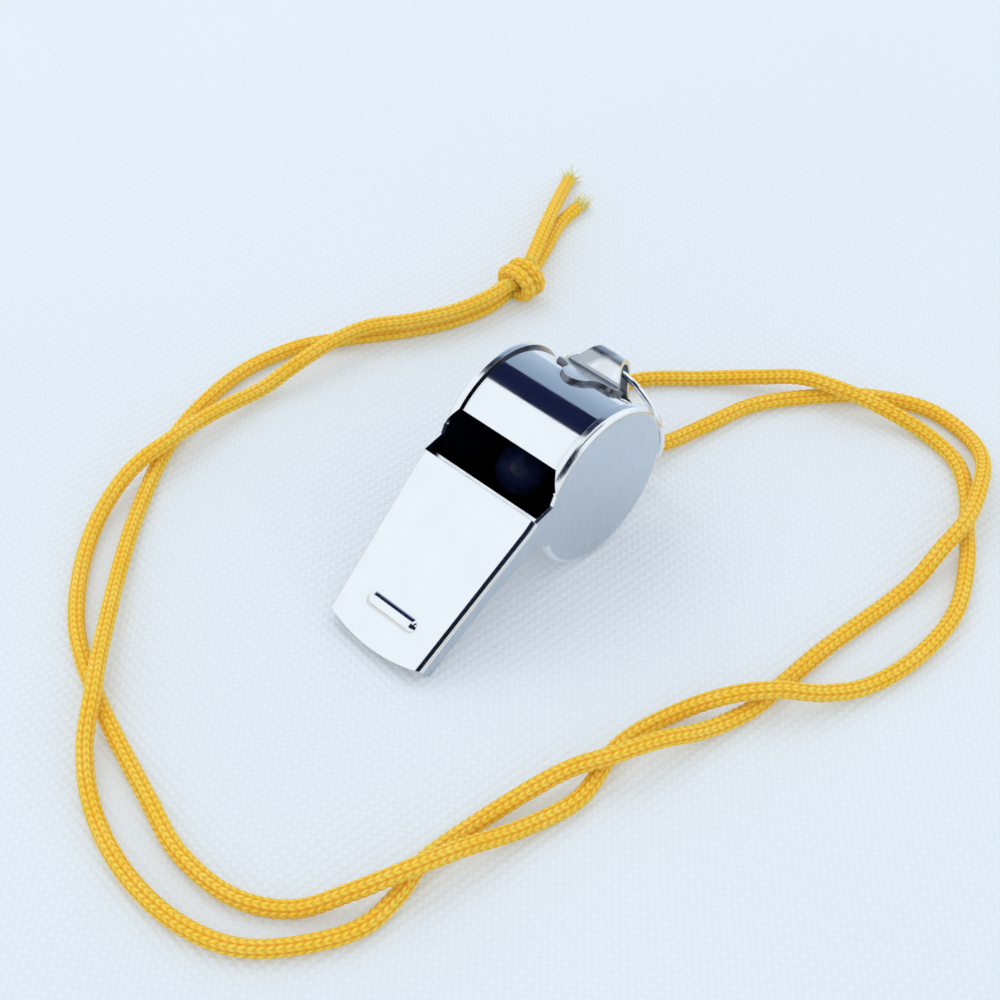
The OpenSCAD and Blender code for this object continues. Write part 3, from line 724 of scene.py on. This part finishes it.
class WHISTLE_OT_cord(bpy.types.Operator):
    """Lay both strands of the cord, with the knot and the loose ends"""

    bl_idname = "whistle.cord"
    bl_label = "Cord"

    def execute(self, context):
        yarn = knitted_yarn()
        path_a, length_a = smooth_line(route(LAY_A), SKIN_STEP, first=-THREAD_WAY)
        path_b, length_b = smooth_line(route(LAY_B), SKIN_STEP, first=THREAD_WAY)
        strand_a = knit_tube("cord_strand_a", path_a, yarn)
        strand_b = knit_tube("cord_strand_b", path_b, yarn, shift=0.4 * MM)
        knot = self.knot(yarn)
        tails = (self.tail("tail_long", LAY_TAIL_A, yarn, 0.3 * MM),
                 self.tail("tail_short", LAY_TAIL_B, yarn, 0.7 * MM))
        for piece, node in ((strand_a, "cord_a"), (strand_b, "cord_b"), (knot, "knot"),
                            (tails[0], "tail_a"), (tails[1], "tail_b")):
            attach(piece, "ring_and_cord")
            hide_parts(node)
        thread = loose_thread()
        for tail, lay, seed in ((tails[0], LAY_TAIL_A, 11), (tails[1], LAY_TAIL_B, 23)):
            points = route(lay)
            way = (points[-1] - points[-2]).normalized()
            piece = tuft(tail.name + "_tuft", points[-1], way, thread, seed)
            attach(piece, "ring_and_cord")
        return {"FINISHED"}

    def knot(self, yarn):
        """Overhand knot in the doubled cord: two strands run through, two turns wrap them."""
        centre = Vector((BARREL.x + KNOT_PLACE[0] * LAY_UNIT, KNOT_PLACE[1] * LAY_UNIT, 0))
        turn = Matrix.Rotation(KNOT_TURN, 4, "Z")
        lines = KNOT_RUNS + [self.wrap(offset) for offset in WRAP_OFFSETS]
        parts = []
        for i, points in enumerate(lines):
            placed = [centre + turn @ Vector((x * MM, y * MM, z * MM)) for x, y, z in points]
            line, _ = smooth_line(placed, KNOT_STEP)
            parts.append(knit_tube(
                "run_%d" % i, line, yarn,
                thick=sizes().cord_diameter * KNOT_TIGHTNESS, shift=i * 0.3 * MM))
        return joined("knot_overhand", parts)

    def wrap(self, offset):
        """Points of one turn round the knot, set off along the way of the cord."""
        along, over = WRAP_WAY
        x, y, z = WRAP_CENTRE
        points = []
        for k in range(WRAP_STEPS + 1):
            angle = math.radians(-90 + 360 / WRAP_STEPS * k)
            u, lift = WRAP_HALF_WIDTH * math.cos(angle), z + WRAP_HALF_HEIGHT * math.sin(angle)
            points.append((x + over * u + along * offset, y - along * u + over * offset, lift))
        return points

    def tail(self, name, lay, yarn, shift):
        """Loose end of the cord, a little thinner towards its cut."""
        line, _ = smooth_line(route(lay), SKIN_STEP)
        return knit_tube(name, line, yarn, shift=shift, taper=lambda part: 1.0 - 0.08 * part)


class WHISTLE_OT_plates(bpy.types.Operator):
    """Give the band, the side plates, the top plate and the inner plate their plating"""

    bl_idname = "whistle.plates"
    bl_label = "Plates"

    def execute(self, context):
        finishes = {
            "chamber_band": plated_metal(
                "plated_band", (900, 160, 900), relief=0.12, roughness=0.09),
            "side_plate_near": plated_metal(
                "plated_side", (2400, 500, 300), relief=0.12, roughness=0.2, parts="side"),
            "top_plate": plated_metal(
                "plated_top", (260, 2200, 260), relief=0.1, roughness=0.11),
            "windway_floor": plated_metal(
                "plated_inner", (600, 600, 600), relief=0.2, roughness=0.25),
        }
        finishes["side_plate_far"] = finishes["side_plate_near"]
        for node, material in finishes.items():
            cover(node, material)
        return {"FINISHED"}


class WHISTLE_OT_bail(bpy.types.Operator):
    """Finish the bail and the ring that hangs in it"""

    bl_idname = "whistle.bail"
    bl_label = "Bail and ring"

    def execute(self, context):
        cover("bail", plated_metal(
            "plated_bail", (260, 900, 260), relief=0.02, roughness=0.33,
            parts="bail", chamber=False, edge=0.05 * MM, shade=0.7))
        cover("jump_ring", plated_metal(
            "ring_wire", (400, 400, 400), relief=0.1, roughness=0.12, chamber=False))
        return {"FINISHED"}


class WHISTLE_OT_pea(bpy.types.Operator):
    """Finish the pea"""

    bl_idname = "whistle.pea"
    bl_label = "Pea"

    def execute(self, context):
        cover("pea", glossy_pea())
        return {"FINISHED"}


class WHISTLE_OT_stage(bpy.types.Operator):
    """Lay the cloth and set the lamps, the sky and the dark cards that the metal mirrors"""

    bl_idname = "whistle.stage"
    bl_label = "Stage"

    def execute(self, context):
        self.cloth()
        self.sky(context)
        self.lamp("window", place=(0.12, 0.4, 0.6), size=0.45, power=0.6)
        for name, spine, span, reach, near, far in CARDS:
            self.card(name, spine, span, reach, card_colour(name, near, far))
        return {"FINISHED"}

    def cloth(self):
        """Flat square of cloth, just under the whistle and far wider than the view."""
        corners = [(x * CLOTH_HALF, y * CLOTH_HALF, 0)
                   for x, y in ((-1, -1), (1, -1), (1, 1), (-1, 1))]
        piece = mesh_piece("cloth", corners, [(0, 1, 2, 3)], woven_cloth())
        piece.location.z = -CLOTH_DROP

    def sky(self, context):
        """Even sky: one colour as light, one as seen by the camera and in the metal."""
        world = bpy.data.worlds.new("sky")
        context.scene.world = world
        world.use_nodes = True
        nodes, links = world.node_tree.nodes, world.node_tree.links
        nodes.clear()
        light, seen = nodes.new("ShaderNodeBackground"), nodes.new("ShaderNodeBackground")
        for node, colour in ((light, SKY_LIGHT), (seen, SKY_SEEN)):
            node.inputs["Color"].default_value = rgba(colour)
            node.inputs["Strength"].default_value = 1.0
        path = nodes.new("ShaderNodeLightPath")
        either = nodes.new("ShaderNodeMath")
        either.operation = "MAXIMUM"
        links.new(path.outputs["Is Camera Ray"], either.inputs[0])
        links.new(path.outputs["Is Glossy Ray"], either.inputs[1])
        mix, out = nodes.new("ShaderNodeMixShader"), nodes.new("ShaderNodeOutputWorld")
        links.new(either.outputs[0], mix.inputs[0])
        links.new(light.outputs[0], mix.inputs[1])
        links.new(seen.outputs[0], mix.inputs[2])
        links.new(mix.outputs[0], out.inputs[0])
        context.scene.view_settings.view_transform = "Standard"

    def lamp(self, name, place, size, power):
        """Soft round lamp aimed at the whistle, not seen in the metal."""
        data = bpy.data.lights.new(name, "AREA")
        data.shape = "DISK"
        data.size = size
        data.energy = power
        lamp = bpy.data.objects.new(name, data)
        bpy.context.scene.collection.objects.link(lamp)
        lamp.location = place
        lamp.visible_glossy = False
        way = Vector((0.005, 0, 0)) - Vector(place)
        lamp.rotation_euler = way.to_track_quat("-Z", "Y").to_euler()

    def card(self, name, spine, span, reach, material):
        """Card along sky directions that only shiny surfaces show, with its fade of colour."""
        low, high = span
        verts, faces, fade = [], [], []
        for i, (x, z) in enumerate(spine):
            for k in range(CARD_ROWS + 1):
                y = low + (high - low) * k / CARD_ROWS
                verts.append(Vector((x, y, z)).normalized() * reach)
                # The last column already has the next row's colour.
                fade.append((i + k // CARD_ROWS) / len(spine))
        for i in range(len(spine) - 1):
            for k in range(CARD_ROWS):
                a = i * (CARD_ROWS + 1) + k
                faces.append((a, a + 1, a + CARD_ROWS + 2, a + CARD_ROWS + 1))
        piece = mesh_piece(name, verts, faces, material, fade=fade)
        piece.visible_camera = False
        piece.visible_diffuse = False
        piece.visible_shadow = False


def cover(node, material):
    """Give a solid of the frame a finish."""
    solid = frame["nodes"][node]
    solid.data.materials.clear()
    solid.data.materials.append(material)


class WHISTLE_PT_panel(bpy.types.Panel):
    """Lists the whistle's sizes, colours and making steps"""

    bl_idname = "WHISTLE_PT_panel"
    bl_label = "Whistle"
    bl_space_type = "VIEW_3D"
    bl_region_type = "UI"
    bl_category = "Whistle"

    def draw(self, context):
        layout = self.layout
        for group in (context.scene.whistle_sizes, context.scene.whistle_look):
            for key in group.bl_rna.properties.keys():
                if key not in {"rna_type", "name"}:
                    layout.prop(group, key)
        for step in STEPS:
            layout.operator(step.bl_idname)


STEPS = (
    WHISTLE_OT_camera,
    WHISTLE_OT_cord,
    WHISTLE_OT_plates,
    WHISTLE_OT_bail,
    WHISTLE_OT_pea,
    WHISTLE_OT_stage,
)
CLASSES = (WhistleLook, WhistleSizes) + STEPS + (WHISTLE_PT_panel,)


def register():
    """Make the classes and their settings known to Blender."""
    for item in CLASSES:
        bpy.utils.register_class(item)
    bpy.types.Scene.whistle_look = PointerProperty(type=WhistleLook)
    bpy.types.Scene.whistle_sizes = PointerProperty(type=WhistleSizes)


def unregister():
    """Take the classes and their settings away again."""
    del bpy.types.Scene.whistle_sizes
    del bpy.types.Scene.whistle_look
    for item in reversed(CLASSES):
        bpy.utils.unregister_class(item)


def main():
    """Run every step."""
    register()
    for step in STEPS:
        family, name = step.bl_idname.split(".")
        getattr(getattr(bpy.ops, family), name)()


if __name__ == "__main__":
    main()
